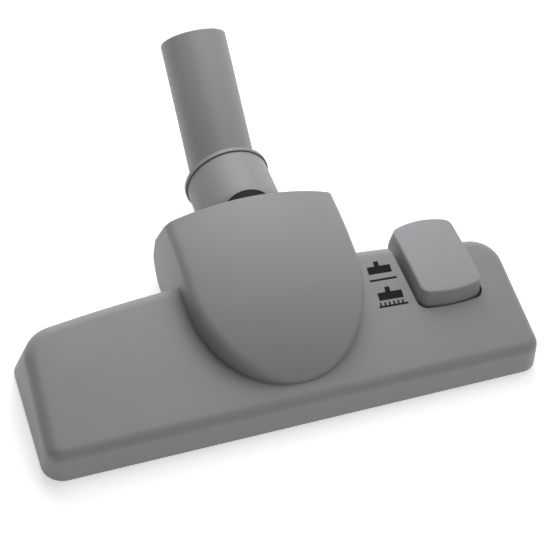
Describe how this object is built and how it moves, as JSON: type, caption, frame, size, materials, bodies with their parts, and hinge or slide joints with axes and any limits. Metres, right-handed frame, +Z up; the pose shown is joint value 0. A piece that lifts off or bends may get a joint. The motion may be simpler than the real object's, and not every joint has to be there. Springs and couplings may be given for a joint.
{
  "type": "vacuum floor brush head",
  "caption": "Wide low vacuum floor head with a domed hump, tilting neck, swivelling bent tube with a wand socket, and a rocker pedal that lowers the brush.",
  "frame": {"origin": "on the floor under the middle of the box around the whole part", "axes": "+X along the head to the pedal's end, +Y from the head's front edge to the tube, +Z up"},
  "size_m": [0.2724, 0.2228, 0.0934],
  "materials": {
    "housing_plastic": "fine matt grain",
    "pedal_plastic": "fine matt grain",
    "neck_plastic": "fine matt grain",
    "tube_plastic": "fine matt grain",
    "chassis_plastic": "moulded, slightly rough",
    "inner_plastic": "moulded, slightly rough",
    "wheel_plastic": "moulded, slightly rough",
    "window_plastic": "smooth dark",
    "sole_steel": "fine brushed along the sole",
    "pin_steel": "turned",
    "spring_steel": "rolled strip",
    "screw_steel": "zinc plated",
    "velvet": "short directional pile",
    "bristle": "nylon filament",
    "seal_rubber": "soft matt",
    "tyre_rubber": "soft matt"
  },
  "bodies": {
    "head": {"upper_housing": "housing_plastic", "chassis": "chassis_plastic", "sole_plate": "sole_steel", "air_duct": "inner_plastic", "neck_seal": "seal_rubber", "front_lint_strip": "velvet", "rear_lint_strip": "velvet", "pedal_axle": "pin_steel", "detent_spring": "spring_steel", "left_pivot_pin": "pin_steel", "right_pivot_pin": "pin_steel", "left_wheel_axle": "pin_steel", "right_wheel_axle": "pin_steel", "housing_screws": "screw_steel", "sole_screws": "screw_steel"},
    "pedal": {"pedal": "pedal_plastic", "link_pin": "pin_steel"},
    "brush": {"brush_frame": "inner_plastic", "front_bristle_strip": "bristle", "rear_bristle_strip": "bristle"},
    "neck": {"neck_elbow": "neck_plastic", "neck_window": "window_plastic", "swivel_seal": "seal_rubber"},
    "tube": {"swivel_tube": "tube_plastic", "swivel_retainer": "inner_plastic"},
    "left_wheel": {"left_wheel": "wheel_plastic", "left_tyre": "tyre_rubber"},
    "right_wheel": {"right_wheel": "wheel_plastic", "right_tyre": "tyre_rubber"}
  },
  "joints": [
    {"name": "neck_tilt", "type": "hinge", "parent": "head", "child": "neck", "pos_m": [0, 0.00439, 0.0381], "axis": [1, 0, 0], "range_deg": [0, 40]},
    {"name": "tube_swivel", "type": "hinge", "parent": "neck", "child": "tube", "pos_m": [0, 0.02869, 0.0381], "axis": [0, 1, 0], "range_deg": [-90, 90]},
    {"name": "pedal_rock", "type": "hinge", "parent": "head", "child": "pedal", "pos_m": [0.0941, -0.05061, 0.024], "axis": [1, 0, 0], "range_deg": [0, 10]},
    {"name": "brush_lift", "type": "slide", "parent": "head", "child": "brush", "axis": [0, 0, -1], "range_m": [0, 0.00706]},
    {"name": "left_wheel_roll", "type": "hinge", "parent": "head", "child": "left_wheel", "pos_m": [-0.036, -0.00861, 0.013], "axis": [1, 0, 0], "continuous": true},
    {"name": "right_wheel_roll", "type": "hinge", "parent": "head", "child": "right_wheel", "pos_m": [0.036, -0.00861, 0.013], "axis": [1, 0, 0], "continuous": true}
  ],
  "couplings": [
    {"joint": "brush_lift", "follows": "pedal_rock", "m_per_rad": 0.039902}
  ]
}
